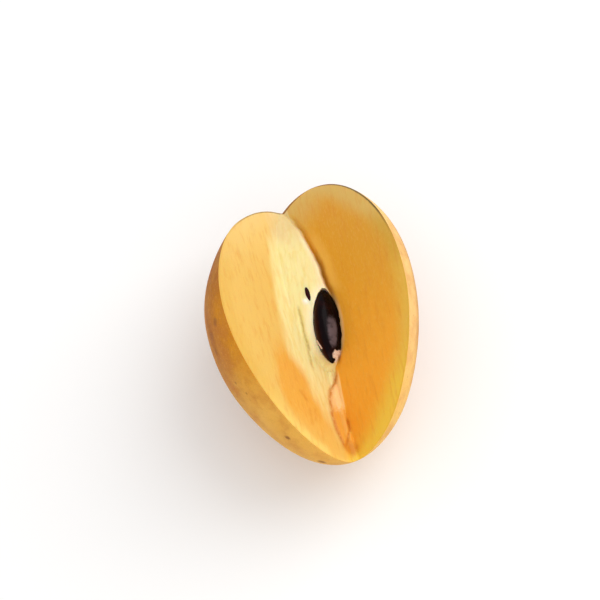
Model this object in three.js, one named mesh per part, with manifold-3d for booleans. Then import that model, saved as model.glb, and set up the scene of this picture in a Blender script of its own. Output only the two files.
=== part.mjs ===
// A sapodilla with a lengthwise wedge cut out of it, lying on its back with the notch open upwards.
// Millimetres, +Z up. The origin is on the surface that the fruit lies on, under the middle of it.
//
// The fruit is shaped in axes of its own: Y runs along the core, from the narrow end to the broad
// stem end, X runs across the notch from left to right, and Z points out of the notch. It is then
// tilted and rolled by a few degrees into the attitude in which it lies still.

import * as THREE from 'three';
import { mergeVertices } from 'three/addons/utils/BufferGeometryUtils.js';
import Module from 'manifold-3d';

// The whole fruit: an egg whose section is a little narrower than it is deep, and whose middle
// line is arched up towards the notch and out to the left.
const FRUIT_LENGTH = 80;
const FRUIT_RADIUS = 30;
const BROAD_END_GAIN = 0.081;
const END_FULLNESS = -0.032;
const SECTION_WIDTH = 0.943;
const ARCH_UP = 4.4;
const ARCH_RIGHT = -3.7;
const FRUIT_AROUND = 64;
const FRUIT_RINGS = 40;

// The notch: two flat cuts that lean away from each other and meet in a straight line. The line
// is given by its place across and above the core's axis at the fruit's two ends.
const LEFT_LEAN = THREE.MathUtils.degToRad(40);
const RIGHT_LEAN = THREE.MathUtils.degToRad(45.5);
const VALLEY_NARROW_END = new THREE.Vector2(3.8, -3.2);
const VALLEY_BROAD_END = new THREE.Vector2(-9.3, -8.0);
const CUT_REACH = 70;
const CUT_OVERRUN = 6;
const CUT_STEPS = 44;

// The torn core: a long pale ridge that fills the bottom of the notch. It reaches furthest up the
// right cut at its middle, and dies away to a narrow floor towards both ends. A small groove parts
// it from the right cut, and its left side runs out into the left cut. Crown, inset and run-out
// are shares of its width, the groove is a share of its reach.
const CORE_MIDDLE = 8;
const CORE_TO_BROAD_END = 29;
const CORE_TO_NARROW_END = 21;
const CORE_REACH = 8.9;
const CORE_FULLNESS = 0.7;
const FLOOR_NARROW_END = 1.8;
const FLOOR_BROAD_END = 0.6;
const LEFT_RUN_OUT = 0.35;
const CROWN = 0.04;
const CROWN_LEFT = 0.18;
const CROWN_RIGHT = 0.55;
const EDGE_INSET = 0.1;
const GROOVE = 0.2;

// The seeds: flat almonds, each in a pocket of its own shape. The full-grown one lies in the core,
// against the right cut. A small one, left of it, shows only its edge. A seed leans about its own
// length and turns about the upright.
const SEED_POINT = 0.66;
const SEED_AROUND = 28;
const SEED_RINGS = 20;
const POCKET_GAP = 0.3;
const FULL_SEED = {
  size: new THREE.Vector3(6.6, 21.6, 10),
  centre: new THREE.Vector3(0.2, -0.8, -1.2),
  lean: THREE.MathUtils.degToRad(-32),
  turn: THREE.MathUtils.degToRad(0),
};
const SMALL_SEED = {
  size: new THREE.Vector3(2.6, 10, 5),
  centre: new THREE.Vector3(-5.0, 7.9, -0.5),
  lean: THREE.MathUtils.degToRad(30),
  turn: THREE.MathUtils.degToRad(10),
};

// How the fruit lies: the stem end a little higher, the right side a little lower, on a small
// flattened spot of skin.
const LIE_TILT = THREE.MathUtils.degToRad(4);
const LIE_ROLL = THREE.MathUtils.degToRad(3.2);
const FLAT_DEPTH = 0.5;
const FLOOR_SIZE = 120;

const SKIN = { color: 0xc48a48, roughness: 0.72, metalness: 0 };
const SEED_COAT = { color: 0x1d0d0c, roughness: 0.18, metalness: 0 };

const wasm = await Module();
wasm.setup();

/** Moves every vertex of a geometry to the place that a function of its old place gives. */
function reshape(geometry, place) {
  const position = geometry.attributes.position;
  const vertex = new THREE.Vector3();
  for (let i = 0; i < position.count; i += 1) {
    vertex.fromBufferAttribute(position, i);
    vertex.copy(place(vertex));
    position.setXYZ(i, vertex.x, vertex.y, vertex.z);
  }
  return geometry;
}

/** Makes a solid of a closed geometry. */
function solidOf(geometry) {
  const bare = geometry.clone();
  bare.deleteAttribute('normal');
  bare.deleteAttribute('uv');
  const merged = mergeVertices(bare);
  const mesh = new wasm.Mesh({
    numProp: 3,
    vertProperties: new Float32Array(merged.attributes.position.array),
    triVerts: new Uint32Array(merged.index.array),
  });
  return new wasm.Manifold(mesh);
}

/** Makes a geometry of a solid. */
function geometryOf(solid) {
  const mesh = solid.getMesh();
  const geometry = new THREE.BufferGeometry();
  geometry.setAttribute('position', new THREE.BufferAttribute(mesh.vertProperties, 3));
  geometry.setIndex(new THREE.BufferAttribute(mesh.triVerts, 1));
  geometry.computeVertexNormals();
  return geometry;
}

/** The uncut egg. */
function wholeFruit() {
  const unit = new THREE.SphereGeometry(1, FRUIT_AROUND, FRUIT_RINGS);
  return reshape(unit, ({ x, y, z }) => {
    const girth = FRUIT_RADIUS * (1 + BROAD_END_GAIN * y + END_FULLNESS * (2 * y * y - 1));
    const arch = 1 - y * y;
    return new THREE.Vector3(
      x * girth * SECTION_WIDTH + ARCH_RIGHT * arch,
      (y * FRUIT_LENGTH) / 2,
      z * girth + ARCH_UP * arch,
    );
  });
}

/** Where the two cuts would meet, in the cross-section at a place along the core. */
function valleyAt(along) {
  const share = along / FRUIT_LENGTH + 0.5;
  return new THREE.Vector2().lerpVectors(VALLEY_NARROW_END, VALLEY_BROAD_END, share);
}

/** How far up the right cut the core's ridge reaches, at a place along the core. */
function coreReach(along) {
  const floor = THREE.MathUtils.lerp(FLOOR_NARROW_END, FLOOR_BROAD_END, along / FRUIT_LENGTH + 0.5);
  const from = along - CORE_MIDDLE;
  const span = from > 0 ? CORE_TO_BROAD_END : CORE_TO_NARROW_END;
  const fullness = Math.max(0, 1 - (from / span) ** 2) ** CORE_FULLNESS;
  return floor + CORE_REACH * fullness;
}

/** A point on the left cut, in a cross-section, from its distance to the valley line. */
function onLeftCut(distance) {
  return new THREE.Vector2(-distance * Math.sin(LEFT_LEAN), distance * Math.cos(LEFT_LEAN));
}

/** A point on the right cut, in a cross-section, from its distance to the valley line. */
function onRightCut(distance) {
  return new THREE.Vector2(distance * Math.sin(RIGHT_LEAN), distance * Math.cos(RIGHT_LEAN));
}

/** The core's top in a cross-section, from the left cut to the groove along the right cut. */
function coreTop(along) {
  const reach = coreReach(along);
  const right = onRightCut(reach);
  const left = onLeftCut(right.y / Math.cos(LEFT_LEAN));
  const width = right.x - left.x;
  const crown = left.y + CROWN * width;
  return [
    left.clone().multiplyScalar(1 + LEFT_RUN_OUT),
    new THREE.Vector2(left.x + CROWN_LEFT * width, crown),
    new THREE.Vector2(left.x + CROWN_RIGHT * width, crown),
    new THREE.Vector2(right.x - EDGE_INSET * width, right.y),
    onRightCut(reach * (1 - GROOVE)),
  ];
}

/** The wedge that is missing from the fruit, as one closed block with the core's top below it. */
function missingWedge() {
  const topSteps = coreTop(0).length - 1;
  const block = new THREE.BoxGeometry(2, 2, 2, topSteps, CUT_STEPS, 1);
  const halfLength = FRUIT_LENGTH / 2 + CUT_OVERRUN;
  return reshape(block, ({ x, y, z }) => {
    const along = y * halfLength;
    const across = (x + 1) / 2;
    const valley = valleyAt(along);
    const outer = new THREE.Vector2().lerpVectors(onLeftCut(CUT_REACH), onRightCut(CUT_REACH), across);
    const inner = coreTop(along)[Math.round(across * topSteps)];
    const point = z < 0 ? inner : outer;
    return new THREE.Vector3(valley.x + point.x, along, valley.y + point.y);
  });
}

/** A seed in its place, or its pocket, which is a seed grown by a gap all round. */
function almond({ size, centre, lean, turn }, gap = 0) {
  const half = size.clone().divideScalar(2).addScalar(gap);
  const unit = new THREE.SphereGeometry(1, SEED_AROUND, SEED_RINGS);
  const shape = reshape(unit, ({ x, y, z }) => {
    const taper = Math.max(Number.EPSILON, 1 - y * y) ** (SEED_POINT - 0.5);
    return new THREE.Vector3(x * taper, y, z * taper).multiply(half);
  });
  return shape.rotateY(lean).rotateZ(turn).translate(centre.x, centre.y, centre.z);
}

/** Turns a geometry from the fruit's own axes into the attitude that it lies in. */
function layDown(geometry) {
  return geometry.rotateY(LIE_ROLL).rotateX(LIE_TILT);
}

/** The cut fruit, with its pockets, before the flat spot is made. */
function cutFruit() {
  return solidOf(wholeFruit())
    .subtract(solidOf(missingWedge()))
    .subtract(solidOf(almond(FULL_SEED, POCKET_GAP)))
    .subtract(solidOf(almond(SMALL_SEED, POCKET_GAP)));
}

/** How far to move the laid fruit, so that its box is centred and the flat spot is at height 0. */
function settling(geometry) {
  geometry.computeBoundingBox();
  const box = geometry.boundingBox;
  const middle = box.getCenter(new THREE.Vector3());
  return new THREE.Vector3(-middle.x, -middle.y, -box.min.z - FLAT_DEPTH);
}

/** The fruit with its flat spot: everything below the surface is taken away. */
function flattened(geometry) {
  const below = new THREE.BoxGeometry(FLOOR_SIZE, FLOOR_SIZE, FLOOR_SIZE);
  below.translate(0, 0, -FLOOR_SIZE / 2);
  return geometryOf(solidOf(geometry).subtract(solidOf(below)));
}

/** A named mesh in its finish. */
function piece(name, geometry, finish) {
  const mesh = new THREE.Mesh(geometry, new THREE.MeshStandardMaterial(finish));
  mesh.name = name;
  return mesh;
}

const laid = layDown(geometryOf(cutFruit()));
const move = settling(laid);

/** Moves a laid geometry to its final place. */
function settle(geometry) {
  return geometry.translate(move.x, move.y, move.z);
}

const sapodilla = new THREE.Group();
sapodilla.name = 'sapodilla';
sapodilla.add(
  piece('fruit', flattened(settle(laid)), SKIN),
  piece('full_seed', settle(layDown(almond(FULL_SEED))), SEED_COAT),
  piece('small_seed', settle(layDown(almond(SMALL_SEED))), SEED_COAT),
);

export default sapodilla;
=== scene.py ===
"""A sapodilla with a lengthwise wedge cut out of it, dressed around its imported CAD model.

The fruit is shaped in axes of its own, in millimetres: Y runs along the core from the narrow end to
the broad stem end, X runs across the notch from left to right, and Z points out of the notch. Meshes
are written in metres, and each finished piece is laid down into the frame of the CAD model.
"""

import logging
import math
from dataclasses import dataclass, field
from enum import Enum
from typing import Any, Sequence

import bpy
import numpy as np
from mathutils import Euler, Matrix, Vector, noise


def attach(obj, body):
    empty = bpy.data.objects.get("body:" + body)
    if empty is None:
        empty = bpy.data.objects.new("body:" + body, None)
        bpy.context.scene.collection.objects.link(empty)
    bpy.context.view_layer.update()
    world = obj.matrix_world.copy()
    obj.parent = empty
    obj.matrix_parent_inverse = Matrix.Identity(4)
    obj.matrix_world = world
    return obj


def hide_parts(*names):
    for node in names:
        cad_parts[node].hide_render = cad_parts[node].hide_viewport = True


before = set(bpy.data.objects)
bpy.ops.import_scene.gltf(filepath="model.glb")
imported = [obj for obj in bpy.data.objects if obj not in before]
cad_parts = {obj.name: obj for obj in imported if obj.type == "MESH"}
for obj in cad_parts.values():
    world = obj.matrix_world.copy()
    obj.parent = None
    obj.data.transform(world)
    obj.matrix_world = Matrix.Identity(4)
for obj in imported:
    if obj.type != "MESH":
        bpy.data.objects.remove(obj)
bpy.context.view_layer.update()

MM = 0.001
TINY = 1e-6
BODY = "root"
log = logging.getLogger("sapodilla")

Colour = tuple[float, float, float]
Place = tuple[float, float, float]
Size = tuple[float, float, float]
Pair = tuple[float, float]
Course = tuple[Pair, ...]
Span = tuple[float, float, float, float]


class Slot(Enum):
    """The record's material slots."""

    SKIN_AND_FLESH = "skin_and_flesh"
    SEED_COAT = "seed_coat"


class Mark(Enum):
    """A number that a piece's vertices carry for its materials."""

    CORE = "core"
    STRIP = "strip"
    CLEFT = "cleft"
    # painted shade in the crease beside the core's ridge
    CREASE = "crease"
    WARM = "warm"
    LIP = "lip"
    FLAP = "flap"
    SCAR = "scar"
    STEM = "stem"
    BANK = "bank"
    SIDE = "side"
    SWELL = "swell"


def linear(red: int, green: int, blue: int) -> Colour:
    """Turns a colour as seen on a screen into the linear one that a shader takes.

    Args:
        red: The red share, 0 to 255.
        green: The green share, 0 to 255.
        blue: The blue share, 0 to 255.

    Returns:
        The three linear shares, 0 to 1.
    """
    shares = (value / 255 for value in (red, green, blue))
    return tuple(s / 12.92 if s <= 0.04045 else ((s + 0.055) / 1.055) ** 2.4 for s in shares)


def smooth(value: np.ndarray, low: float | np.ndarray, high: float | np.ndarray) -> np.ndarray:
    """Rises smoothly from 0 at low to 1 at high, or falls where low is above high.

    Args:
        value: The values to look at.
        low: Where the result is 0.
        high: Where the result is 1.

    Returns:
        One share for each value.
    """
    share = np.clip((value - low) / (high - low), 0.0, 1.0)
    return share * share * (3 - 2 * share)


def between(value: np.ndarray, span: Span) -> np.ndarray:
    """Rises from 0 to 1 over the first two numbers of a span, and falls to 0 over the last two."""
    return smooth(value, span[0], span[1]) * smooth(value, span[3], span[2])


def follow(course: Course, along: np.ndarray) -> np.ndarray:
    """Reads a course of (along, value) points.

    Args:
        course: The points, from the narrow end to the broad end.
        along: The places along the core to read it at.

    Returns:
        One value for each place.
    """
    places, values = zip(*course)
    return np.interp(along, places, values)


def ripple(points: np.ndarray, scale: Sequence[float], shift: float = 0.0) -> np.ndarray:
    """Smooth noise from -1 to 1 at each point.

    Args:
        points: The points, in millimetres.
        scale: The size of a ripple along each axis, in millimetres.
        shift: A shift that gives another pattern.

    Returns:
        One value for each point.
    """
    spots = points / np.asarray(scale) + shift
    return np.array([noise.noise(Vector(spot)) for spot in spots])


def waver(along: np.ndarray, size: float, shift: float) -> np.ndarray:
    """Smooth noise from -1 to 1 at places along the core, by the size of a ripple in millimetres."""
    level = np.zeros_like(along)
    return ripple(np.column_stack((level, along, level)), (1, size, 1), shift)


@dataclass(frozen=True)
class Pattern:
    """A cloudy noise by its scale per millimetre, drawn out along the core where along is below 1."""

    scale: float
    detail: float
    rough: float
    along: float = 1.0


class Wire:
    """A shader socket that takes part in arithmetic."""

    def __init__(self, graph: "Graph", socket: bpy.types.NodeSocket) -> None:
        """Keeps the socket and the graph it belongs to."""
        self.graph = graph
        self.socket = socket

    def _math(self, operation: str, first: Any, second: Any) -> "Wire":
        """Adds a Math node for two values or wires."""
        return self.graph.node("ShaderNodeMath", {"operation": operation}, {0: first, 1: second})

    def __add__(self, other: Any) -> "Wire":
        """This plus other."""
        return self._math("ADD", self, other)

    __radd__ = __add__

    def __sub__(self, other: Any) -> "Wire":
        """This minus other."""
        return self._math("SUBTRACT", self, other)

    def __rsub__(self, other: Any) -> "Wire":
        """Other minus this."""
        return self._math("SUBTRACT", other, self)

    def __mul__(self, other: Any) -> "Wire":
        """This times other."""
        return self._math("MULTIPLY", self, other)

    __rmul__ = __mul__

    def __truediv__(self, other: Any) -> "Wire":
        """This over other."""
        return self._math("DIVIDE", self, other)

    def __pow__(self, other: Any) -> "Wire":
        """This to the power of other."""
        return self._math("POWER", self, other)


class Graph:
    """The node tree of one material, built up to a Principled shader."""

    def __init__(self, name: str) -> None:
        """Makes an empty material, with its shader and output.

        Args:
            name: The material's name.
        """
        self.material = bpy.data.materials.new(name)
        self.material.use_nodes = True
        self.tree = self.material.node_tree
        self.tree.nodes.clear()
        self.shader = self.tree.nodes.new("ShaderNodeBsdfPrincipled")
        output = self.tree.nodes.new("ShaderNodeOutputMaterial")
        self.tree.links.new(self.shader.outputs["BSDF"], output.inputs["Surface"])

    def feed(self, socket: bpy.types.NodeSocket, value: Any) -> None:
        """Links a wire to a socket, or sets the socket to a plain value.

        Args:
            socket: The input socket.
            value: The wire, number, vector or colour for it.
        """
        if isinstance(value, Wire):
            self.tree.links.new(value.socket, socket)
        elif isinstance(value, tuple) and len(value) == 3 and socket.type == "RGBA":
            socket.default_value = (*value, 1.0)
        else:
            socket.default_value = value

    def node(self, kind: str, settings: dict[str, Any], inputs: dict[Any, Any], output: Any = 0) -> Wire:
        """Adds a node.

        Args:
            kind: The node's type.
            settings: The node's own settings, set before its sockets.
            inputs: Values or wires, by the name or number of the socket.
            output: The name or number of the socket to give back.

        Returns:
            The wire from that output.
        """
        node = self.tree.nodes.new(kind)
        for name, value in settings.items():
            setattr(node, name, value)
        for key, value in inputs.items():
            self.feed(node.inputs[key], value)
        return Wire(self, node.outputs[output])

    def smooth(self, value: Wire, low: float, high: float) -> Wire:
        """A share that goes smoothly from 0 at low to 1 at high, or falls where low is above high.

        Args:
            value: The wire to look at.
            low: Where the share is 0.
            high: Where the share is 1.

        Returns:
            The share.
        """
        inputs = {
            "Value": value,
            "From Min": min(low, high),
            "From Max": max(low, high),
            "To Min": 0.0 if low < high else 1.0,
            "To Max": 1.0 if low < high else 0.0,
        }
        return self.node("ShaderNodeMapRange", {"interpolation_type": "SMOOTHSTEP"}, inputs)

    def mix(self, share: Any, first: Any, second: Any) -> Wire:
        """Two colours or colour wires, mixed by a share of the second."""
        inputs = {0: share, 6: first, 7: second}
        return self.node("ShaderNodeMix", {"data_type": "RGBA"}, inputs, 2)

    def tint(
        self, under: Any, over: Any, share: Any, source: Wire, low: float, high: float
    ) -> Wire:
        """A colour with a share of another over it, where a source goes from low to high."""
        return self.mix(self.smooth(source, low, high) * share, under, over)

    def paint(self, under: Any, over: Any, share: Any, mark: Mark) -> Wire:
        """A colour with a share of another over it, where the vertices carry a mark."""
        return self.mix(self.mark(mark) * share, under, over)

    def mark(self, mark: Mark) -> Wire:
        """The number that a piece's vertices carry under a mark."""
        return self.node("ShaderNodeAttribute", {"attribute_name": mark.value}, {}, "Fac")

    def noise(self, place: Wire, pattern: Pattern) -> Wire:
        """Cloudy noise, about 0.5 in the middle.

        Args:
            place: Where to read it, in millimetres.
            pattern: Its size and roughness.

        Returns:
            The noise.
        """
        if pattern.along != 1:
            inputs = {0: place, 1: (1, pattern.along, 1)}
            place = self.node("ShaderNodeVectorMath", {"operation": "MULTIPLY"}, inputs)
        inputs = {
            "Vector": place,
            "Scale": pattern.scale,
            "Detail": pattern.detail,
            "Roughness": pattern.rough,
        }
        return self.node("ShaderNodeTexNoise", {}, inputs, "Fac")

    def distance(self, place: Wire, spot: Place) -> Wire:
        """How far a place is from a fixed spot."""
        inputs = {0: place, 1: spot}
        return self.node("ShaderNodeVectorMath", {"operation": "DISTANCE"}, inputs, "Value")

    def axes(self, place: Wire) -> tuple[Wire, Wire, Wire]:
        """The three numbers of a place."""
        outputs = self.node("ShaderNodeSeparateXYZ", {}, {0: place}).socket.node.outputs
        return Wire(self, outputs[0]), Wire(self, outputs[1]), Wire(self, outputs[2])

    def bump(self, height: Wire, distance: float, strength: float) -> Wire:
        """A normal that is tilted by a height, in metres of distance for a height of 1."""
        inputs = {"Height": height, "Distance": distance, "Strength": strength}
        return self.node("ShaderNodeBump", {}, inputs)

    def finish(self, **sockets: Any) -> bpy.types.Material:
        """Feeds the shader's sockets, with underscores for the spaces of their names.

        Args:
            **sockets: A value or a wire for each socket.

        Returns:
            The finished material.
        """
        for name, value in sockets.items():
            self.feed(self.shader.inputs[name.replace("_", " ")], value)
        return self.material


@dataclass(frozen=True)
class Lie:
    """How the fruit lies in the frame: tilted, rolled, and with its own origin at a place."""

    tilt: float = math.radians(4.0)
    roll: float = math.radians(3.2)
    origin: Place = (3.427, -0.016, 25.762)

    def turn(self) -> Euler:
        """The turn from the fruit's own axes, rolled first and then tilted."""
        return (Matrix.Rotation(self.tilt, 3, "X") @ Matrix.Rotation(self.roll, 3, "Y")).to_euler()

    def lay_down(self, piece: bpy.types.Object) -> None:
        """Turns and moves a piece from the fruit's own axes into the frame, in its mesh.

        Args:
            piece: The piece to lay down.
        """
        piece.rotation_euler = self.turn()
        piece.location = Vector(self.origin) * MM
        choose(piece)
        bpy.ops.object.transform_apply(location=True, rotation=True, scale=True)

    def own_place(self, graph: Graph) -> Wire:
        """The place of a shaded point in the fruit's own axes.

        Args:
            graph: The material's node tree.

        Returns:
            The place, in millimetres.
        """
        here = graph.node("ShaderNodeTexCoord", {}, {}, "Object")
        inputs = {
            "Vector": here,
            "Location": tuple(Vector(self.origin) * MM),
            "Rotation": tuple(self.turn()),
            "Scale": (MM, MM, MM),
        }
        return graph.node("ShaderNodeMapping", {"vector_type": "TEXTURE"}, inputs)


def choose(piece: bpy.types.Object) -> None:
    """Selects an object and no other, and makes it active.

    Args:
        piece: The object to select.
    """
    bpy.ops.object.select_all(action="DESELECT")
    piece.select_set(True)
    bpy.context.view_layer.objects.active = piece


def points_of(piece: bpy.types.Object) -> np.ndarray:
    """Reads the vertices of a piece.

    Args:
        piece: The piece to read.

    Returns:
        One row for each vertex.
    """
    flat = np.empty(len(piece.data.vertices) * 3)
    piece.data.vertices.foreach_get("co", flat)
    return flat.reshape(-1, 3)


def set_points(piece: bpy.types.Object, points: np.ndarray) -> None:
    """Moves the vertices of a piece to new places, one row each."""
    piece.data.vertices.foreach_set("co", points.ravel())
    piece.data.update()


def write_marks(piece: bpy.types.Object, marks: dict[Mark, np.ndarray]) -> None:
    """Writes numbers for a piece's materials into its mesh.

    Args:
        piece: The piece to write to.
        marks: One number for each vertex, by mark.
    """
    for mark, numbers in marks.items():
        layer = piece.data.attributes.new(mark.value, "FLOAT", "POINT")
        layer.data.foreach_set("value", numbers)


def add_ball(name: str, around: int, rings: int) -> tuple[bpy.types.Object, np.ndarray]:
    """Adds a unit ball that is still to be shaped.

    Args:
        name: The new object's name.
        around: How many faces go round it.
        rings: How many faces go from pole to pole.

    Returns:
        The new object, and its points with the poles turned onto Y.
    """
    bpy.ops.object.select_all(action="DESELECT")
    bpy.ops.mesh.primitive_uv_sphere_add(segments=around, ring_count=rings, radius=1)
    piece = bpy.context.object
    piece.name = piece.data.name = name
    x, y, z = points_of(piece).T
    return piece, np.column_stack((x, z, -y))


def cut_away(piece: bpy.types.Object, tool: bpy.types.Object) -> None:
    """Takes the space of a closed tool out of a piece, with the tool's material, and removes the tool.

    Args:
        piece: The piece to cut.
        tool: The closed mesh to cut it with.
    """
    cut = piece.modifiers.new("cut", "BOOLEAN")
    cut.operation = "DIFFERENCE"
    cut.solver = "EXACT"
    cut.material_mode = "TRANSFER"
    cut.object = tool
    choose(piece)
    bpy.ops.object.modifier_apply(modifier=cut.name)
    bpy.data.objects.remove(tool)


@dataclass(frozen=True)
class Egg:
    """The form of the whole fruit: an egg, narrower than deep, with an arched middle line."""

    length: float = 80.0
    radius: float = 30.0
    broad_end_gain: float = 0.081
    end_fullness: float = -0.032
    section_width: float = 0.943
    arch_up: float = 4.4
    arch_right: float = -3.7
    lump: float = 0.3
    lump_size: float = 19.0
    stem: Place = (4.0, 39.4, -4.0)
    stem_radius: float = 3.4
    bowl_depth: float = 0.9
    bowl_steepness: int = 6
    pit_depth: float = 0.6
    pit_radius: float = 0.25
    collar_rise: float = 0.25
    collar_radius: float = 1.3
    collar_width: float = 0.35

    def swell(self, points: np.ndarray) -> np.ndarray:
        """How far the skin stands out from the plain egg.

        Args:
            points: Points on the skin.

        Returns:
            One distance for each point, in millimetres.
        """
        lumps = self.lump * ripple(points, (self.lump_size,) * 3)
        away = np.linalg.norm(points - np.array(self.stem), axis=1) / self.stem_radius
        pit = self.pit_depth * np.exp(-((away / self.pit_radius) ** 2))
        bowl = self.bowl_depth * (np.exp(-(away**self.bowl_steepness)) + pit)
        collar = self.collar_rise * np.exp(-(((away - self.collar_radius) / self.collar_width) ** 2))
        return lumps + collar - bowl

    def place(self, unit: np.ndarray) -> np.ndarray:
        """Shapes a unit ball, whose poles are on Y, into the egg.

        Args:
            unit: Points on the unit ball.

        Returns:
            The points of the egg, in millimetres.
        """
        x, y, z = unit.T
        girth = self.radius * (1 + self.broad_end_gain * y + self.end_fullness * (2 * y * y - 1))
        arch = 1 - y * y
        across = x * girth * self.section_width + self.arch_right * arch
        points = np.column_stack((across, y * self.length / 2, z * girth + self.arch_up * arch))
        return points + unit * self.swell(points)[:, None]

    def depth(self, graph: Graph, place: Wire) -> Wire:
        """How far a place is below the skin, measured in its cross-section.

        Args:
            graph: The material's node tree.
            place: The place, in the fruit's own axes.

        Returns:
            The depth, in millimetres.
        """
        x, y, z = graph.axes(place)
        share = y / (self.length / 2)
        arch = 1 - share * share
        girth = self.radius * (1 + self.broad_end_gain * share + self.end_fullness * (1 - 2 * arch))
        over = (x - self.arch_right * arch) / self.section_width
        up = z - self.arch_up * arch
        plain = girth * arch**0.5 - (over * over + up * up) ** 0.5
        return plain + graph.mark(Mark.SWELL)


@dataclass(frozen=True)
class Cleft:
    """A crack that runs along the core, by its course of (along, across the valley) points. Its third
    number sets how strongly painted shade is laid along it.
    """

    course: Course
    width: float
    depth: float
    crack_shade: float = 1.0
    fade: float = 2.5
    wander: float = 0.18
    wander_size: float = 1.7

    def share(self, across: np.ndarray, along: np.ndarray) -> np.ndarray:
        """How much of the crack is at each place.

        Args:
            across: The places across the valley.
            along: The places along the core.

        Returns:
            1 in the middle of the crack, falling to 0 beside it and at its ends.
        """
        middle = follow(self.course, along) + self.wander * waver(along, self.wander_size, shift=4.3)
        first, last = self.course[0][0], self.course[-1][0]
        ends = between(along, (first - self.fade, first, last, last + self.fade))
        return ends * np.exp(-(((across - middle) / self.width) ** 2))


@dataclass(frozen=True)
class Notch:
    """The missing wedge: two flat cuts, and between them the torn core that fills the bottom.

    Courses are (along the core, across the valley) points, and so are single places. Spans run along
    the core, or across the valley from the right edge of the core's ridge.
    """

    left_lean: float = math.radians(40.0)
    right_lean: float = math.radians(45.5)
    valley_narrow_end: Pair = (3.8, -3.2)
    valley_broad_end: Pair = (-9.3, -8.0)
    length: float = 80.0
    beside_cut: Pair = (12.0, -4.0)
    not_beside: float = 30.0
    core_middle: float = 8.0
    core_to_broad_end: float = 29.0
    core_to_narrow_end: float = 21.0
    core_reach: float = 8.9
    core_fullness: float = 0.7
    floor_narrow_end: float = 1.8
    floor_broad_end: float = 0.6
    crown: float = 0.04
    edge_inset: float = 0.1
    edge_round: float = 1.0
    edge_wander: float = 0.3
    edge_wander_size: float = 2.6
    edge_wander_reach: Pair = (2, 5)
    run_out: float = 1.6
    run_out_least: float = 0.05
    run_out_reach: Pair = (1, 6)
    run_out_halves: Pair = (1.5, 3.0)
    bump: float = 0.4
    bump_place: Pair = (9.6, -1.0)
    bump_size: float = 4.0
    crease: float = 1.2
    crease_width: float = 0.5
    crease_reach: Pair = (2, 6)
    # how far the crease's painted shade spreads, in widths of the groove
    crease_shade_spread: float = 1.5
    # where along the core the crease's painted shade lies
    crease_shade_span: Span = (4, 9, 17, 25)
    brink_span: Span = (3, 9, 24, 33)
    brink_across: Span = (-2.4, -0.4, 0.0, 0.4)
    # a lighter band beside the groove, painted light
    bank_span: Span = (6, 12, 24, 31)
    bank_across: Span = (0.7, 1.6, 2.2, 4.5)
    fibre: float = 0.1
    fibre_size: Size = (0.75, 11.0, 0.9)
    grain: float = 0.05
    grain_size: Size = (2.2, 9.0, 2.2)
    streak: float = 0.9
    streak_size: Size = (1.6, 9.0, 1.6)
    flap: Pair = (6.2, -1.3)
    flap_size: float = 0.75
    flap_rise: float = 0.45
    flap_spread: float = 1.5
    stem_slant: float = 0.9
    stem_span: Pair = (20, 32)
    side_softness: float = 1.2
    strip_rise: float = 0.3
    strip_start: float = -12.5
    strip_fade: float = 2.5
    strip_left_edge: Pair = (-0.1, 0.3)
    strip_right_edge: Pair = (0.3, -0.2)
    strip_left: Course = (
        (-36.2, -2.3), (-34.5, -2.4), (-32.3, -2.7), (-30.5, -3.1), (-27.3, -3.1), (-24.0, -2.7),
        (-21.5, -2.3), (-18.4, -1.4), (-16.6, 0.1), (-14.7, 1.2), (-12.4, 1.6),
    )
    strip_right: Course = (
        (-36.0, -2.2), (-34.0, -1.3), (-32.0, -0.3), (-30.0, 0.3),
        (-26.6, 0.5), (-22.6, 1.1), (-18.3, 1.5), (-13.7, 2.0),
    )
    pale_left: Course = (
        (-36.0, -3.4), (-30.0, -4.6), (-26.0, -5.3), (-21.4, -6.6), (-18.0, -7.0), (-14.3, -7.8),
        (-11.7, -9.0), (-9.0, -9.8), (-4.5, -9.9), (0.8, -9.6), (6.4, -9.2), (14.4, -8.3),
        (24.0, -6.7), (28.0, -5.6), (31.4, -4.7), (36.0, -4.3),
    )
    pale_fall: float = 1.4
    pale_fall_gain: float = 0.6
    pale_fall_span: Pair = (-2, -12)
    pale_right_edge: Pair = (0.25, -0.15)
    warm_span: Pair = (-3, -13)
    warm_inner_edge: Pair = (2.6, -1.2)
    warm_inner_streak: float = 1.6
    warm_outer_edge: Pair = (-1.0, 1.6)
    warm_outer_streak: float = 1.2
    warm_loss: float = 0.5
    warm_loss_span: Pair = (-24, -35)
    warm_left: Course = (
        (-36.5, -7.5), (-34.5, -9.9), (-32.1, -11.8), (-28.6, -13.5), (-25.6, -14.8),
        (-21.9, -15.3), (-17.9, -15.3), (-13.4, -14.6), (-10.0, -13.7),
    )
    pale_share: Course = (
        (-36.0, 0.0), (-30.0, 0.25), (-25.0, 0.7),
        (-14.0, 0.95), (26.0, 1.0), (38.0, 0.7),
    )
    clefts: tuple[Cleft, ...] = (
        Cleft(((-11.4, -4.5), (-7.8, -4.3), (-1.0, -4.1), (3.6, -3.9)), 0.36, 0.5, 0.7),
        Cleft(((-8.0, -6.3), (-3.0, -6.0), (1.5, -5.9)), 0.25, 0.12, 0.1),
        Cleft(((-34.4, -2.4), *strip_left[2:-1]), 0.55, 0.42),
        Cleft(((-35.2, -2.0), (-33.2, -0.9), (-30.5, 0.3), (-28.0, 0.5)), 0.35, 0.4, 0.8, 1.5),
        Cleft(((-23.2, -8.9), (-22.0, -9.3), (-21.0, -9.8)), 0.5, 0.08, 0.5, 1.0),
        Cleft(((-30.2, -9.4), (-28.0, -9.1), (-26.3, -8.8)), 0.4, 0.06, 0.4, 1.0),
        Cleft(((-29.0, -8.1), (-27.5, -7.7), (-25.9, -7.3)), 0.4, 0.06, 0.4, 1.0),
    )

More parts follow.
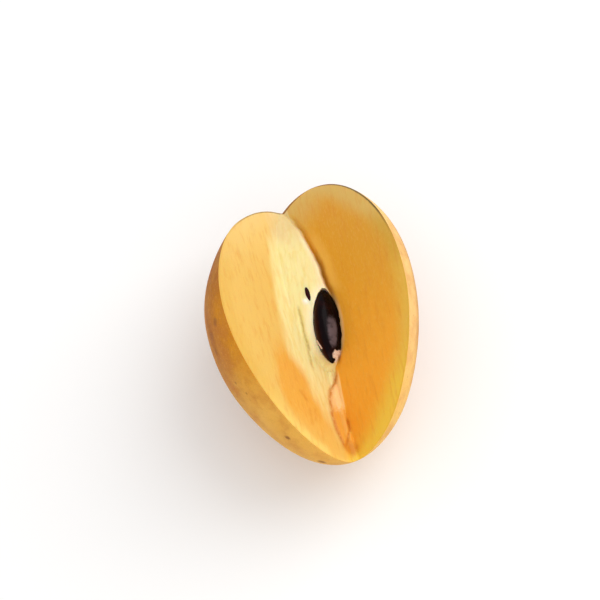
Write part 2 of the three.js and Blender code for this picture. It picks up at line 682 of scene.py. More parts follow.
    def valley(self, along: Any) -> tuple[Any, Any]:
        """Where the two cuts would meet.

        Args:
            along: Places along the core, as numbers or as a wire.

        Returns:
            The places across and up, of the same kind.
        """
        near, far = self.valley_narrow_end, self.valley_broad_end
        share = along / self.length + 0.5
        return near[0] + (far[0] - near[0]) * share, near[1] + (far[1] - near[1]) * share

    def reach(self, along: np.ndarray) -> np.ndarray:
        """How far up the right cut the core's ridge reaches.

        Args:
            along: The places along the core.

        Returns:
            One distance for each place.
        """
        share = along / self.length + 0.5
        floor = self.floor_narrow_end + (self.floor_broad_end - self.floor_narrow_end) * share
        away = along - self.core_middle
        span = np.where(away > 0, self.core_to_broad_end, self.core_to_narrow_end)
        return floor + self.core_reach * np.maximum(0, 1 - (away / span) ** 2) ** self.core_fullness

    def edge(self, along: np.ndarray) -> np.ndarray:
        """Where the core's ridge ends on the right.

        Args:
            along: The places along the core.

        Returns:
            One place across the valley for each of them.
        """
        reach = self.reach(along)
        right = reach * math.sin(self.right_lean)
        left = -reach * math.cos(self.right_lean) * math.tan(self.left_lean)
        torn = self.edge_wander * waver(along, self.edge_wander_size, shift=1.7)
        return right - self.edge_inset * (right - left) + torn * smooth(reach, *self.edge_wander_reach)

    def rims(self, graph: Graph, place: Wire) -> tuple[Wire, Wire]:
        """How far a place on the skin is from the two cuts, in millimetres.

        Args:
            graph: The material's node tree.
            place: The place, in the fruit's own axes.

        Returns:
            The distances from the left and the right cut, made large where the place isn't beside it.
        """
        x, y, z = graph.axes(place)
        middle, bottom = self.valley(y)
        across = x - middle
        up = z - bottom
        gaps = []
        for side, lean in ((-1, self.left_lean), (1, self.right_lean)):
            gap = across * (side * math.cos(lean)) - up * math.sin(lean)
            out = across * (side * math.sin(lean)) + up * math.cos(lean)
            gaps.append((gap * gap) ** 0.5 + self.not_beside * graph.smooth(out, *self.beside_cut))
        return gaps[0], gaps[1]

    def marks(self, points: np.ndarray) -> dict[Mark, np.ndarray]:
        """What the flesh is like at points of the cut.

        Args:
            points: The points, in the fruit's own axes.

        Returns:
            A share for each point, by mark.
        """
        along = points[:, 1]
        across = points[:, 0] - self.valley(along)[0]
        streaks = self.streak * ripple(points, self.streak_size, shift=7.1)
        left = follow(self.pale_left, along)
        crack = follow(self.strip_left, along)
        border = follow(self.strip_right, along)
        edge = self.edge(along)
        past = across - edge
        right = np.where(along > self.strip_start, np.maximum(edge, crack), crack)
        fall = self.pale_fall + self.pale_fall_gain * smooth(along, *self.pale_fall_span)
        pale = smooth(across - left - streaks, -fall, fall)
        pale *= smooth(across - right, *self.pale_right_edge)
        strip = smooth(across - crack, *self.strip_left_edge)
        strip *= smooth(across - border, *self.strip_right_edge)
        strip *= smooth(along, self.strip_start, self.strip_start - self.strip_fade)
        inner = across - left - self.warm_inner_streak * streaks
        outer = across - follow(self.warm_left, along) - self.warm_outer_streak * streaks
        warm = smooth(inner, *self.warm_inner_edge) * smooth(along, *self.warm_span)
        warm *= smooth(outer, *self.warm_outer_edge)
        warm *= 1 - self.warm_loss * smooth(along, *self.warm_loss_span)
        flap = self.spot(across, along, self.flap, self.flap_size)
        side = across - np.minimum(0, border)
        # painted shade along the cracks
        crack_shades = [cleft.crack_shade * cleft.share(across, along) for cleft in self.clefts]
        # painted shade along the crease, wider than the groove itself
        crease = self.groove(past, self.crease_shade_spread * self.crease_width)
        return {
            Mark.CORE: pale * follow(self.pale_share, along),
            Mark.STRIP: strip,
            Mark.CLEFT: np.max(crack_shades, axis=0),
            Mark.CREASE: crease * between(along, self.crease_shade_span),
            Mark.WARM: warm,
            Mark.LIP: between(past, self.brink_across) * between(along, self.brink_span),
            Mark.BANK: between(past, self.bank_across) * between(along, self.bank_span),
            Mark.FLAP: np.minimum(1, self.flap_spread * flap),
            Mark.STEM: smooth(along - self.stem_slant * across + streaks, *self.stem_span),
            Mark.SIDE: smooth(side, -self.side_softness, self.side_softness),
        }

    def groove(self, past: np.ndarray, width: float) -> np.ndarray:
        """A soft groove of a width along the right edge of the core's ridge: 1 in its middle."""
        return np.exp(-(((past - self.crease_width) / width) ** 2))

    @staticmethod
    def spot(
        across: np.ndarray, along: np.ndarray, place: Pair, size: float
    ) -> np.ndarray:
        """A soft round spot about a place: 1 in its middle."""
        return np.exp(-((along - place[0]) ** 2 + (across - place[1]) ** 2) / size**2)

    def floor(self, across: np.ndarray, along: np.ndarray) -> np.ndarray:
        """The height of the cut above the line where the two cuts would meet.

        Args:
            across: The places across the valley.
            along: The places along the core.

        Returns:
            One height for each place.
        """
        cut = np.maximum(-across / math.tan(self.left_lean), across / math.tan(self.right_lean))
        reach = self.reach(along)
        top = reach * math.cos(self.right_lean)
        left = -top * math.tan(self.left_lean)
        edge = self.edge(along)
        past = across - edge
        half = (edge - left) / 2
        bulge = np.maximum(0, 1 - ((across - left - half) / half) ** 2)
        roll = np.clip((past + self.edge_round) / self.edge_round, 0, None) ** 2
        ridge = top + self.crown * 2 * half * bulge - self.edge_round * roll
        near, far = self.run_out_halves
        leftward = smooth(across, edge - near * half, edge - far * half)
        soft = self.run_out * leftward * smooth(reach, *self.run_out_reach) + self.run_out_least
        gap = np.abs(cut - ridge)
        filled = np.maximum(cut, ridge) + np.maximum(0, soft - gap) ** 2 / (4 * soft)
        crease = self.groove(past, self.crease_width) * smooth(reach, *self.crease_reach)
        bump = self.spot(across, along, self.bump_place, self.bump_size)
        flap = self.spot(across, along, self.flap, self.flap_size)
        return filled - self.crease * crease + self.bump * bump + self.flap_rise * flap

    def surface(self, across: np.ndarray, along: np.ndarray) -> np.ndarray:
        """The points of the whole cut, with its fibres and cracks, in the fruit's own axes.

        Args:
            across: The places across the valley.
            along: The places along the core.

        Returns:
            One row for each place.
        """
        middle, bottom = self.valley(along)
        points = np.column_stack((middle + across, along, bottom + self.floor(across, along)))
        marks = self.marks(points)
        fine_size = tuple(size / 2 for size in self.fibre_size)
        fibres = ripple(points, self.fibre_size) + 0.5 * ripple(points, fine_size, shift=3)
        grain = ripple(points, self.grain_size, shift=11)
        relief = self.fibre * fibres * marks[Mark.CORE] + self.grain * grain
        relief = relief + self.strip_rise * marks[Mark.STRIP]
        for cleft in self.clefts:
            relief = relief - cleft.depth * cleft.share(across, along)
        points[:, 2] += relief
        return points


@dataclass(frozen=True)
class Scar:
    """A small dark mark on the skin, or a faint one where its strength is low."""

    place: Place
    radius: float
    strength: float


@dataclass(frozen=True)
class SkinFinish:
    """Matt tan skin, browner beside the left cut partly as painted shade, lighter beside the right cut
    and towards the narrow end as painted light, with clouds, specks, scars and a corky stem scar.
    """

    lie: Lie
    egg: Egg
    notch: Notch
    middle: Colour = linear(186, 114, 28)
    deep: Colour = linear(136, 66, 4)
    pale: Colour = linear(220, 161, 66)
    tan: Colour = linear(214, 160, 88)
    blush: Colour = linear(194, 115, 46)
    gold: Colour = linear(212, 136, 0)
    # painted light on the skin beside the right cut
    right_rim_light: Colour = linear(250, 202, 126)
    # painted light towards the narrow end, standing in for light bounced up from the floor
    narrow_end_light: Colour = linear(236, 184, 88)
    speck: Colour = linear(132, 76, 34)
    cork: Colour = linear(92, 60, 36)
    cork_pale: Colour = linear(158, 118, 78)
    clouds: Pattern = Pattern(0.06, 4, 0.55)
    streaks: Pattern = Pattern(0.16, 3, 0.5, 0.35)
    flush: Pattern = Pattern(0.16, 4, 0.6)
    scurf: Pattern = Pattern(0.8, 5, 0.7)
    flakes: Pattern = Pattern(3.2, 4, 0.6)
    grain: Pattern = Pattern(1.5, 5, 0.65)
    dots: float = 0.22
    relief: float = 0.18
    relief_strength: float = 0.6
    roughness: float = 0.7
    roughness_swing: float = 0.2
    shine: float = 0.13
    bloom: float = 0.03
    bloom_roughness: float = 0.45
    bloom_tint: Colour = (1.0, 0.9, 0.84)
    glow: float = 0.15
    glow_tint: Colour = (1.0, 0.4, 0.12)
    glow_depth: float = 1.5
    scars: tuple[Scar, ...] = (
        Scar((-14.0, -33.3, 7.9), 1.2, 0.85),
        Scar((-5.8, -38.9, 0.2), 1.6, 0.85),
        Scar((-29.4, -2.5, 18.2), 1.7, 0.55),
        Scar((-30.7, -4.6, 13.2), 2.2, 0.5),
        Scar((-30.3, -8.6, 12.0), 1.5, 0.45),
    )

    def material(self) -> bpy.types.Material:
        """Builds the skin's material.

        Returns:
            The finished material.
        """
        graph = Graph("skin")
        place = self.lie.own_place(graph)
        _, along, _ = graph.axes(place)
        left, right = self.notch.rims(graph, place)
        clouds = graph.noise(place, self.clouds)
        taper = graph.smooth(along + 24 * (clouds - 0.5), 26, -30)
        colour = graph.mix(graph.smooth(clouds, 0.3, 0.65) * 0.5 + taper * 0.5, self.deep, self.middle)
        streaks = graph.noise(place, self.streaks)
        colour = graph.tint(colour, self.pale, 0.36, streaks, 0.42, 0.75)
        flush = graph.noise(place, self.flush)
        wander = 5 * (flush - 0.5)
        # tan away from the left cut; the browner skin left beside it is partly the skin's own tone and
        # partly painted shade
        colour = graph.tint(colour, self.tan, 0.55, left + 2 * wander, 12, 28)
        golden = graph.smooth(left + wander, 11, 2) * graph.smooth(along, 16, -4)
        colour = graph.mix(golden * (1.3 - 0.9 * flush), colour, self.gold)
        # painted light on the skin beside the right cut
        colour = graph.tint(colour, self.right_rim_light, 0.85, right + wander, 11, 3)
        # painted light towards the narrow end, standing in for light bounced up from the floor
        colour = graph.tint(colour, self.narrow_end_light, 0.35 + 0.8 * clouds, along + 3 * wander, -6, -38)
        colour = graph.tint(colour, self.blush, 0.36, flush, 0.42, 0.7)
        scurf = graph.noise(place, self.scurf)
        colour = graph.tint(colour, self.speck, 0.42 - 0.26 * taper, scurf, 0.54, 0.74)
        colour = graph.tint(colour, self.pale, 0.35, scurf, 0.48, 0.34)
        flakes = graph.noise(place, self.flakes)
        colour = graph.tint(colour, self.speck, 0.22, flakes, 0.54, 0.7)
        colour = graph.tint(colour, self.pale, 0.2, flakes, 0.44, 0.3)
        inputs = {"Vector": place, "Scale": self.dots}
        dots = graph.node("ShaderNodeTexVoronoi", {}, inputs, "Distance")
        speckle = graph.smooth(dots + 0.12 * scurf, 0.19, 0.1) * graph.smooth(streaks, 0.4, 0.55)
        colour = graph.mix(speckle * 0.6, colour, self.speck)
        for scar in self.scars:
            away = graph.distance(place, scar.place) / scar.radius + 1.5 * (scurf - 0.5)
            colour = graph.tint(colour, self.speck, scar.strength, away, 1.0, 0.3)
        away = graph.distance(place, self.egg.stem) / self.egg.stem_radius + 0.5 * (scurf - 0.5)
        colour = graph.tint(colour, self.speck, 0.6, away, 1.7, 1.0)
        colour = graph.mix(graph.smooth(away, 1.05, 0.9), colour, self.cork)
        colour = graph.tint(colour, self.cork_pale, graph.smooth(flakes, 0.3, 0.8), away, 0.8, 0.55)
        colour = graph.tint(colour, self.cork, 0.8, away, 0.3, 0.2)
        grain = graph.noise(place, self.grain)
        height = grain + scurf * 0.7 + flakes * 0.35
        return graph.finish(
            Base_Color=colour,
            Roughness=self.roughness + self.roughness_swing * (grain - 0.5),
            Normal=graph.bump(height, self.relief * MM, self.relief_strength),
            Specular_IOR_Level=self.shine,
            Sheen_Weight=self.bloom,
            Sheen_Roughness=self.bloom_roughness,
            Sheen_Tint=self.bloom_tint,
            Subsurface_Weight=self.glow,
            Subsurface_Radius=self.glow_tint,
            Subsurface_Scale=self.glow_depth * MM,
        )


@dataclass(frozen=True)
class FleshFinish:
    """Moist orange flesh with a pale core, a yellow zone under the skin and the skin's own edge, with
    painted shade on the right cut, in the crease and along the cracks, painted light on the groove's
    bank and the pocket's lip, and a painted highlight on a small flap.
    """

    lie: Lie
    egg: Egg
    left_inner: Colour = linear(229, 188, 99)
    left_rim: Colour = linear(224, 180, 86)
    left_stem: Colour = linear(236, 203, 124)
    left_low: Colour = linear(238, 202, 110)
    left_warm: Colour = linear(230, 164, 62)
    # a darker, deeper orange than the left cut: a shaded copy of the flesh, as painted shade
    right_upper: Colour = linear(222, 157, 36)
    right_lower: Colour = linear(243, 167, 46)
    rim_stem: Colour = linear(220, 182, 96)
    rim_gold: Colour = linear(206, 161, 44)
    rim_side: Colour = linear(226, 188, 76)
    rim_low: Colour = linear(240, 198, 66)
    core: Colour = linear(240, 226, 160)
    core_streak: Colour = linear(236, 215, 140)
    core_pink: Colour = linear(240, 208, 152)
    core_stem: Colour = linear(226, 194, 144)
    strip: Colour = linear(252, 206, 140)
    strip_low: Colour = linear(236, 166, 60)
    streak: Colour = linear(216, 136, 38)
    # painted light on the groove's bank
    bank: Colour = linear(240, 190, 88)
    # the pocket's pale lip is the flesh's own; its lighter copy on the core and darker copy on the right
    # cut are painted light and shade
    lip: Colour = linear(240, 192, 134)
    lip_core: Colour = linear(255, 240, 206)
    lip_low: Colour = linear(246, 206, 138)
    # the flap's near-white is a painted highlight
    flap: Colour = linear(255, 248, 232)
    # painted shade for the cracks, on the open flesh and on the core
    cleft: Colour = linear(204, 116, 18)
    cleft_core: Colour = linear(184, 150, 66)
    # painted shade for the crease
    shade: Colour = linear(166, 110, 32)
    skin_edge: Colour = linear(100, 80, 40)
    skin_brown: Colour = linear(140, 88, 26)
    skin_gold: Colour = linear(200, 152, 46)
    clouds: Pattern = Pattern(0.16, 3, 0.55, 0.6)
    streaks: Pattern = Pattern(0.9, 3, 0.6, 0.16)
    grit: Pattern = Pattern(1.1, 4, 0.65)
    fine: Pattern = Pattern(2.4, 4, 0.6, 0.3)
    tip: Place = (2.4, -35.9, -2.2)
    tip_radius: float = 2.4
    skin_width: float = 0.55
    relief: float = 0.14
    relief_strength: float = 0.5
    roughness: float = 0.42
    roughness_swing: float = 0.25
    shine: float = 0.3
    glow: float = 0.3
    glow_tint: Colour = (1.0, 0.45, 0.12)
    glow_depth: float = 1.4

    def left_cut(self, graph: Graph, along: Wire, drift: Wire, clouds: Wire) -> Wire:
        """Colours the left cut.

        Args:
            graph: The material's node tree.
            along: The place along the core.
            drift: The depth below the skin, made cloudy.
            clouds: The soft clouds of the flesh.

        Returns:
            The colour.
        """
        rim = graph.mix(graph.smooth(along, -16, -32), self.left_rim, self.left_low)
        colour = graph.mix(graph.smooth(drift, 7, 1.5), self.left_inner, rim)
        colour = graph.tint(colour, self.left_stem, 0.8, along + 10 * (clouds - 0.5), 10, 32)
        return graph.paint(colour, self.left_warm, 0.85, Mark.WARM)

    def right_cut(self, graph: Graph, along: Wire, drift: Wire, clouds: Wire) -> Wire:
        """Colours the right cut, in a darker, deeper orange than the left as painted shade.

        Args:
            graph: The material's node tree.
            along: The place along the core.
            drift: The depth below the skin, made cloudy.
            clouds: The soft clouds of the flesh.

        Returns:
            The colour.
        """
        lower = graph.smooth(along + 16 * (clouds - 0.5), 18, -22)
        colour = graph.mix(lower, self.right_upper, self.right_lower)
        rim = graph.mix(graph.smooth(along, 24, 6), self.rim_stem, self.rim_side)
        rim = graph.tint(rim, self.rim_gold, graph.smooth(along, 6, 14) * 0.8, along, 28, 19)
        rim = graph.tint(rim, self.rim_low, 0.8, along, -8, -24)
        zone = drift - graph.smooth(along, 12, 34) * 5 - graph.smooth(along, -8, -28) * 3.5
        colour = graph.mix(graph.smooth(zone, 7.0, -1.5), colour, rim)
        return graph.paint(colour, self.rim_stem, 0.8, Mark.STEM)

    def skin_line(self, graph: Graph, colour: Wire, along: Wire, depth: Wire, grit: Wire) -> Wire:
        """Draws the edge of the skin along the cuts.

        Args:
            graph: The material's node tree.
            colour: The flesh's colour.
            along: The place along the core.
            depth: The depth below the skin.
            grit: The fine grit of the flesh.

        Returns:
            The colour with the skin's edge.
        """
        side = graph.mark(Mark.SIDE)
        brown = graph.mark(Mark.STEM) * side
        rind = depth - 0.8 * brown + 0.5 * (grit - 0.5)
        skin = graph.smooth(rind, self.skin_width + 0.3, self.skin_width - 0.2)
        dark = graph.smooth(along, 12, 27) * side + graph.smooth(along, 22, 34) * (1 - side) * 0.8
        edge = graph.mix(brown, self.skin_edge, self.skin_brown)
        edge = graph.mix(dark, self.skin_gold, edge)
        return graph.mix(skin * (0.25 + 0.65 * dark), colour, edge)

    def material(self) -> bpy.types.Material:
        """Builds the flesh's material.

        Returns:
            The finished material.
        """
        graph = Graph("flesh")
        place = self.lie.own_place(graph)
        depth = self.egg.depth(graph, place)
        _, along, _ = graph.axes(place)
        clouds = graph.noise(place, self.clouds)
        streaks = graph.noise(place, self.streaks)
        grit = graph.noise(place, self.grit)
        fine = graph.noise(place, self.fine)
        drift = depth + 3 * (clouds - 0.5)
        left = self.left_cut(graph, along, drift, clouds)
        right = self.right_cut(graph, along, drift, clouds)
        # the right cut's colours are painted shade
        colour = graph.mix(graph.mark(Mark.SIDE), left, right)
        colour = graph.tint(colour, self.streak, 0.36, streaks, 0.48, 0.75)
        colour = graph.tint(colour, self.left_rim, 0.22, grit, 0.55, 0.75)
        colour = graph.tint(colour, self.left_low, 0.2, fine, 0.48, 0.72)
        core = graph.mix(graph.smooth(streaks, 0.42, 0.7), self.core, self.core_streak)
        core = graph.tint(core, self.core_pink, 0.4, clouds, 0.52, 0.72)
        core = graph.tint(core, self.core_stem, 0.5, along + 8 * (clouds - 0.5), 22, 31)
        colour = graph.mix(graph.mark(Mark.CORE), colour, core)
        strip = graph.mix(graph.smooth(along + 6 * (grit - 0.5), -23, -26), self.strip, self.strip_low)
        colour = graph.paint(colour, strip, 0.85, Mark.STRIP)
        # painted light on the bank right of the groove
        colour = graph.paint(colour, self.bank, 0.5, Mark.BANK)
        tip = graph.distance(place, self.tip) / self.tip_radius + 0.8 * (grit - 0.5)
        colour = graph.tint(colour, self.streak, 0.8, tip, 1.25, 0.4)
        # the pocket's pale lip, as painted light on the core and painted shade on the right cut
        brim = graph.mix(graph.smooth(along, -6.5, -10), self.lip_core, self.lip_low)
        lip = graph.mix(graph.mark(Mark.CORE), self.lip, brim)
        colour = graph.paint(colour, lip, 0.7, Mark.LIP)
        # painted shade in and beside the cracks
        cleft = graph.mix(graph.smooth(along, -14, -9), self.cleft, self.cleft_core)
        colour = graph.paint(colour, cleft, graph.smooth(grit, 0.15, 0.6) * 0.85, Mark.CLEFT)
        # painted highlight on the small flap of flesh by the small seed
        colour = graph.paint(colour, self.flap, 0.9, Mark.FLAP)
        # painted shade in the crease right of the core's ridge
        colour = graph.paint(colour, self.shade, 0.6, Mark.CREASE)
        height = streaks + fine * 0.5 + grit * 0.6
        return graph.finish(
            Base_Color=self.skin_line(graph, colour, along, depth, grit),
            Roughness=self.roughness + self.roughness_swing * (fine - 0.5),
            Normal=graph.bump(height, self.relief * MM, self.relief_strength),
            Specular_IOR_Level=self.shine,
            Subsurface_Weight=self.glow,
            Subsurface_Radius=self.glow_tint,
            Subsurface_Scale=self.glow_depth * MM,
        )


@dataclass(frozen=True)
class CoatFinish:
    """The hard, glossy, almost black coat of a seed, with a dull grey patch along one edge and bits of
    pale flesh.
    """

    lie: Lie
    dark: Colour = linear(9, 1, 3)
    warm: Colour = linear(52, 10, 8)
    # a dull grey patch along one edge of the seed
    scar: Colour = linear(96, 82, 86)
    flesh: Colour = linear(230, 206, 182)
    flesh_deep: Colour = linear(200, 162, 142)
    clouds: Pattern = Pattern(0.35, 4, 0.6)
    fine: Pattern = Pattern(1.8, 4, 0.6)
    relief: float = 0.05
    relief_strength: float = 0.4
    roughness: float = 0.25
    roughness_swing: float = 0.2
    dull_roughness: float = 0.5
    shine: float = 0.07

    def material(self) -> bpy.types.Material:
        """Builds the seed coat's material.

        Returns:
            The finished material.
        """
        graph = Graph("seed_coat")
        place = self.lie.own_place(graph)
        clouds = graph.noise(place, self.clouds)
        fine = graph.noise(place, self.fine)
        red = graph.mark(Mark.WARM) * (0.6 + 0.4 * clouds) + 0.25 * graph.smooth(clouds, 0.45, 0.75)
        colour = graph.mix(red, self.dark, self.warm)
        scar = graph.smooth(graph.mark(Mark.SCAR) + 0.4 * (fine - 0.5), 0.35, 0.85)
        colour = graph.mix(scar * graph.smooth(clouds, 0.25, 0.6), colour, self.scar)
        flesh = graph.smooth(graph.mark(Mark.FLAP) + 0.3 * (fine - 0.5), 0.1, 0.5)
        pulp = graph.mix(graph.smooth(fine, 0.4, 0.65), self.flesh, self.flesh_deep)
        colour = graph.mix(flesh, colour, pulp)
        dull = (self.dull_roughness - self.roughness) * (0.8 * scar + flesh)
        return graph.finish(
            Base_Color=colour,
            Roughness=self.roughness + self.roughness_swing * (fine - 0.5) + dull,
            Normal=graph.bump(fine, self.relief * MM, self.relief_strength),
            Specular_IOR_Level=self.shine,
        )


@dataclass(frozen=True)
class Cling:
    """A bit of torn flesh on a seed, between two places (turn about the seed's length in degrees, share
    of its half length), with a radius in millimetres."""

    start: Pair
    end: Pair
    radius: float


@dataclass
class Seed:
    """A flat almond-shaped seed, leaned about its length and turned about the upright."""

    name: str
    node: str
    size: Size
    centre: Place
    lean: float
    turn: float
    mouth: float = 0.0
    mouth_steps: int = 5
    tip_ring: float = 0.02
    lip: float = 0.45
    point: float = 0.66
    clings: tuple[Cling, ...] = ()
    cling_rise: float = 0.4
    cling_top: float = 0.2
    torn: float = 0.3
    torn_size: Size = (0.9, 0.9, 0.9)
    brim_size: Size = (1.5, 1.5, 50.0)
    scar_middle: float = math.radians(61)
    scar_width: float = math.radians(23)
    scar_centre: float = -0.25
    scar_length: float = 0.4
    scar_squareness: int = 3
    scar_reach: float = 1.5
    red_from: float = math.radians(15)
    red_to: float = math.radians(-25)
    around: int = 96
    rings: int = 64

    def attitude(self) -> np.ndarray:
        """The turn from the seed's own axes to the fruit's."""
        return np.array(Matrix.Rotation(self.turn, 3, "Z") @ Matrix.Rotation(self.lean, 3, "Y"))

    def almond(self, name: str, gap: float = 0.0, lift: float = 0.0) -> bpy.types.Object:
        """Makes the seed's form in the fruit's own axes.

        Args:
            name: The new object's name.
            gap: How far the form is grown on all sides, for a pocket.
            lift: How far its upper half is drawn up, for a pocket that is open above.

        Returns:
            The new object.
        """
        piece, unit = add_ball(name, self.around, self.rings)
        x, y, z = unit.T
        taper = np.maximum(TINY, 1 - y**2) ** (self.point - 0.5)
        half = np.array(self.size) / 2 + gap
        shape = np.column_stack((x * taper, y, z * taper)) * half
        points = shape @ self.attitude().T + np.array(self.centre)
        outward = (shape / half**2) @ self.attitude().T
        upper = outward[:, 2] > 0
        points[upper, 2] += lift
        if lift:
            torn = self.lip * (1 + ripple(points[upper], self.brim_size))
            away = points[upper, :2] - np.array(self.centre)[:2]
            points[upper, :2] -= away * (torn / np.maximum(1, np.linalg.norm(away, axis=1)))[:, None]
        set_points(piece, points * MM)
        return piece

    def gap_to(self, points: np.ndarray) -> np.ndarray:
        """How far points are from the seed and the mouth of its pocket, roughly.

        Args:
            points: The points, in the fruit's own axes.

        Returns:
            One distance for each point, in millimetres.
        """
        half = np.array(self.size) / 2
        gaps = []
        for lift in np.linspace(0, self.mouth, self.mouth_steps):
            x, y, z = ((points - np.array(self.centre) - (0, 0, lift)) @ self.attitude() / half).T
            ring = np.maximum(self.tip_ring, 1 - y**2) ** self.point
            beyond = np.maximum(0, np.abs(y) - 1) * half[1]
            gaps.append((np.hypot(x, z) - ring) * (half[0] + half[2]) / 2 + beyond)
        return np.min(gaps, axis=0)

    def dress(self, piece: bpy.types.Object) -> None:
        """Raises the bits of flesh that cling to the seed, and marks them, its dull grey patch and its
        red side.

        Args:
            piece: The seed's form, in the fruit's own axes.
        """
        points = points_of(piece) / MM
        half = np.array(self.size) / 2
        own = (points - np.array(self.centre)) @ self.attitude()
        x, along, z = (own / half).T
        around = np.arctan2(x, z)
        power = self.scar_squareness
        scar = np.abs((around - self.scar_middle) / self.scar_width) ** power
        scar = (scar + np.abs((along - self.scar_centre) / self.scar_length) ** power) ** (1 / power)
        girth = (half[0] + half[2]) / 2 * np.maximum(0, 1 - along**2) ** self.point
        scale = np.column_stack((girth, np.full_like(girth, half[1])))
        flesh = np.zeros_like(along)
        for cling in self.clings:
            start = np.array((math.radians(cling.start[0]), cling.start[1]))
            end = np.array((math.radians(cling.end[0]), cling.end[1]))
            from_start = (np.column_stack((around, along)) - start) * scale
            run = (end - start) * scale
            share = np.clip((from_start * run).sum(axis=1) / (run * run).sum(axis=1), 0, 1)
            away = np.linalg.norm(from_start - run * share[:, None], axis=1)
            away = away + self.torn * cling.radius * ripple(points, self.torn_size, shift=2.7)
            flesh = np.maximum(flesh, smooth(away, cling.radius, self.cling_top * cling.radius))
        outward = own / half**2
        outward /= np.linalg.norm(outward, axis=1)[:, None]
        raised = points + (outward * (self.cling_rise * flesh)[:, None]) @ self.attitude().T
        set_points(piece, raised * MM)
        marks = {
            Mark.SCAR: np.maximum(0, self.scar_reach - scar),
            Mark.FLAP: flesh,
            Mark.WARM: smooth(around, self.red_from, self.red_to),
        }
        write_marks(piece, marks)

    def build(self, lie: Lie, coat: bpy.types.Material) -> bpy.types.Object:
        """Makes the seed, dresses it and sets it in place of its CAD node.

        Args:
            lie: How the fruit lies.
            coat: The seed coat's material.

        Returns:
            The finished seed.
        """
        piece = self.almond(self.name)
        self.dress(piece)
        piece.data.materials.append(coat)
        lie.lay_down(piece)
        bpy.ops.object.shade_smooth()
        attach(piece, BODY)
        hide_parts(self.node)
        return piece


@dataclass
class Fruit:
    """The cut fruit: skin, flesh and core, grown as one piece."""

    lie: Lie
    egg: Egg
    notch: Notch
    skin: bpy.types.Material
    flesh: bpy.types.Material
    name: str = "cut_fruit"
    node: str = "fruit"
    around: int = 224
    rings: int = 150
    cut_reach: float = 42.0
    cut_overrun: float = 4.0
    cut_rise: float = 60.0
    cut_across: int = 240
    cut_along: int = 250
    fine_share: float = 0.46
    pocket_gap: float = 0.15
    lip_width: float = 1.3
    sharp: float = math.radians(40)

    def whole(self) -> bpy.types.Object:
        """Makes the uncut fruit in its own axes.

        Returns:
            The new object, in its skin.
        """
        piece, unit = add_ball(self.name, self.around, self.rings)
        set_points(piece, self.egg.place(unit) * MM)
        piece.data.materials.append(self.skin)
        return piece

    def wedge(self) -> bpy.types.Object:
        """Makes the missing wedge as a closed block whose underside is the surface of the cut.

        Returns:
            The new object, in the flesh's material.
        """
        bpy.ops.object.select_all(action="DESELECT")
        bpy.ops.mesh.primitive_grid_add(
            x_subdivisions=self.cut_across, y_subdivisions=self.cut_along, size=2
        )
        tool = bpy.context.object
        tool.name = "missing_wedge"
        u, v, _ = points_of(tool).T
        across = self.cut_reach * (self.fine_share * u + (1 - self.fine_share) * u**3)
        along = v * (self.egg.length / 2 + self.cut_overrun)
        set_points(tool, self.notch.surface(across, along) * MM)
        bpy.ops.object.mode_set(mode="EDIT")
        bpy.ops.mesh.select_all(action="SELECT")
        rise = (0, 0, self.cut_rise * MM)
        bpy.ops.mesh.extrude_region_move(TRANSFORM_OT_translate={"value": rise})
        bpy.ops.mesh.select_all(action="SELECT")
        bpy.ops.mesh.normals_make_consistent(inside=False)
        bpy.ops.object.mode_set(mode="OBJECT")
        tool.data.materials.append(self.flesh)
        return tool

    def note_marks(self, piece: bpy.types.Object, seeds: Sequence[Seed]) -> None:
        """Writes what the fruit is like at each vertex into the mesh, for its materials.

        Args:
            piece: The cut fruit, in its own axes.
            seeds: The seeds whose pockets have a pale lip.
        """
        points = points_of(piece) / MM
        marks = self.notch.marks(points)
        marks[Mark.SWELL] = self.egg.swell(points)
        # the lip is up to three times as wide on the core, as painted light on the slope down to the
        # pocket
        width = self.lip_width * (1 + 2 * marks[Mark.CORE])
        lips = [smooth(seed.gap_to(points), width, self.pocket_gap) for seed in seeds if seed.mouth]
        marks[Mark.LIP] = np.max([marks[Mark.LIP], *lips], axis=0)
        write_marks(piece, marks)

    def flatten(self, piece: bpy.types.Object) -> None:
        """Cuts the small flat spot that the laid fruit rests on.

        Args:
            piece: The fruit, laid down in the frame.
        """
        choose(piece)
        bpy.ops.object.mode_set(mode="EDIT")
        bpy.ops.mesh.select_all(action="SELECT")
        bpy.ops.mesh.bisect(
            plane_co=(0, 0, 0), plane_no=(0, 0, 1), use_fill=True, clear_inner=True, threshold=TINY
        )
        bpy.ops.object.mode_set(mode="OBJECT")

    def build(self, seeds: Sequence[Seed]) -> bpy.types.Object:
        """Makes the fruit, dresses it and sets it in place of its CAD node.

        Args:
            seeds: The seeds that lie in pockets of the core.

        Returns:
            The finished fruit.
        """
        piece = self.whole()
        cut_away(piece, self.wedge())
        for seed in seeds:
            pocket = seed.almond("pocket", self.pocket_gap, seed.mouth)
            pocket.data.materials.append(self.flesh)
            cut_away(piece, pocket)
        self.note_marks(piece, seeds)
        self.lie.lay_down(piece)
        self.flatten(piece)
        choose(piece)
        bpy.ops.object.shade_smooth_by_angle(angle=self.sharp)
        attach(piece, BODY)
        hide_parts(self.node)
        return piece


@dataclass
class Lamp:
    """A square soft light that shines at the fruit."""

    name: str
    place: Place
    size: float
    power: float
    colour: Colour = (1.0, 1.0, 1.0)

    def build(self, aim: Vector) -> None:
        """Adds the light.

        Args:
            aim: The point that it is turned towards.
        """
        data = bpy.data.lights.new(self.name, "AREA")
        data.size = self.size
        data.energy = self.power
        data.color = self.colour
        lamp = bpy.data.objects.new(self.name, data)
        lamp.location = self.place
        lamp.rotation_euler = (aim - lamp.location).to_track_quat("-Z", "Y").to_euler()
        bpy.context.scene.collection.objects.link(lamp)


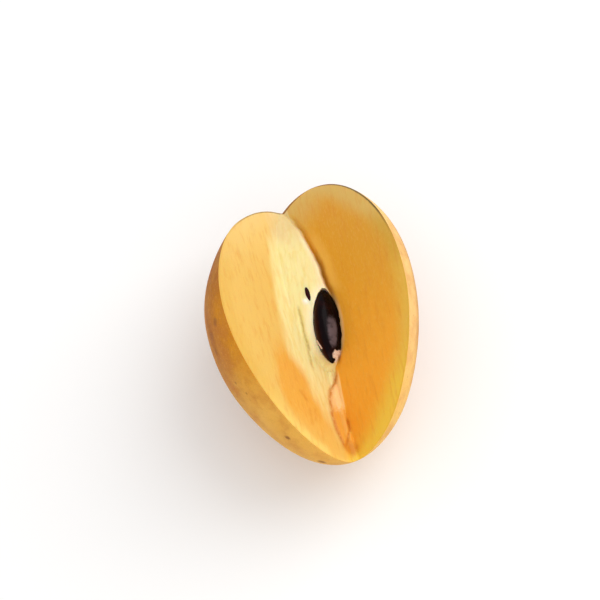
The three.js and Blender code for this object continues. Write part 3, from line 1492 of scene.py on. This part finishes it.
@dataclass
class Studio:
    """A pale floor, soft light, and a camera at the photograph's viewing angle."""

    floor_size: float = 6.0
    floor_colour: Colour = (0.93, 0.93, 0.93)
    floor_roughness: float = 0.9
    sky: float = 0.84
    aim: Place = (-3.225, 8.096, 25.0)
    distance: float = 446.1
    azimuth: float = math.radians(7.37)
    elevation: float = math.radians(65.85)
    roll: float = math.radians(-14.56)
    lens: float = 96.0
    sensor: float = 36.0
    clip_start: float = 0.01
    lamps: tuple[Lamp, ...] = field(
        default_factory=lambda: (
            Lamp("key", (0.6, 0.35, 0.75), 0.9, 5.0, (1.0, 0.98, 0.95)),
            Lamp("fill", (0.15, -0.9, 0.3), 0.7, 1.4, (1.0, 0.99, 0.97)),
        )
    )

    def camera(self) -> None:
        """Adds the camera and makes it the scene's own."""
        around = self.azimuth
        level = math.cos(self.elevation)
        back = Vector((math.sin(around) * level, -math.cos(around) * level, math.sin(self.elevation)))
        side = Vector((math.cos(around), math.sin(around), 0))
        rise = back.cross(side)
        right = side * math.cos(self.roll) + rise * math.sin(self.roll)
        data = bpy.data.cameras.new("camera")
        data.lens = self.lens
        data.sensor_width = self.sensor
        data.clip_start = self.clip_start
        camera = bpy.data.objects.new("camera", data)
        turn = Matrix((right, back.cross(right), back)).transposed()
        camera.rotation_euler = turn.to_euler()
        camera.location = (Vector(self.aim) + back * self.distance) * MM
        bpy.context.scene.collection.objects.link(camera)
        bpy.context.scene.camera = camera

    def floor(self) -> None:
        """Adds the floor."""
        bpy.ops.object.select_all(action="DESELECT")
        bpy.ops.mesh.primitive_plane_add(size=self.floor_size)
        floor = bpy.context.object
        floor.name = "floor"
        finish = Graph("floor").finish(Base_Color=self.floor_colour, Roughness=self.floor_roughness)
        floor.data.materials.append(finish)

    def build(self) -> None:
        """Sets up the whole studio."""
        scene = bpy.context.scene
        scene.view_settings.view_transform = "Standard"
        world = bpy.data.worlds.new("studio")
        world.use_nodes = True
        background = world.node_tree.nodes["Background"]
        background.inputs["Color"].default_value = (1, 1, 1, 1)
        background.inputs["Strength"].default_value = self.sky
        scene.world = world
        for lamp in self.lamps:
            lamp.build(Vector(self.aim) * MM)
        self.floor()
        self.camera()


def main() -> None:
    """Builds the seeds, the fruit and the studio, and reports each piece."""
    logging.basicConfig(level=logging.INFO, format="%(name)s: %(message)s")
    lie, egg, notch = Lie(), Egg(), Notch()
    clings = (
        Cling((130, -0.74), (80, -0.8), 1.25),
        Cling((84, -0.82), (125, -0.92), 0.8),
        Cling((-32, -0.42), (-17, -0.63), 0.4),
    )
    seeds = (
        Seed(
            name="grown_seed",
            node="full_seed",
            size=(6.6, 21.6, 10.0),
            centre=(0.2, -0.8, -1.2),
            lean=math.radians(-32),
            turn=0.0,
            mouth=3.0,
            clings=clings,
        ),
        Seed(
            name="small_seed_edge",
            node="small_seed",
            size=(2.6, 10.0, 5.0),
            centre=(-5.0, 7.9, -0.5),
            lean=math.radians(30),
            turn=math.radians(10),
        ),
    )
    skin = SkinFinish(lie, egg, notch).material()
    flesh = FleshFinish(lie, egg).material()
    pieces = [Fruit(lie, egg, notch, skin, flesh).build(seeds)]
    coat = CoatFinish(lie).material()
    pieces += [seed.build(lie, coat) for seed in seeds]
    Studio().build()
    for piece in pieces:
        log.info("%s: %d faces", piece.name, len(piece.data.polygons))


if __name__ == "__main__":
    main()
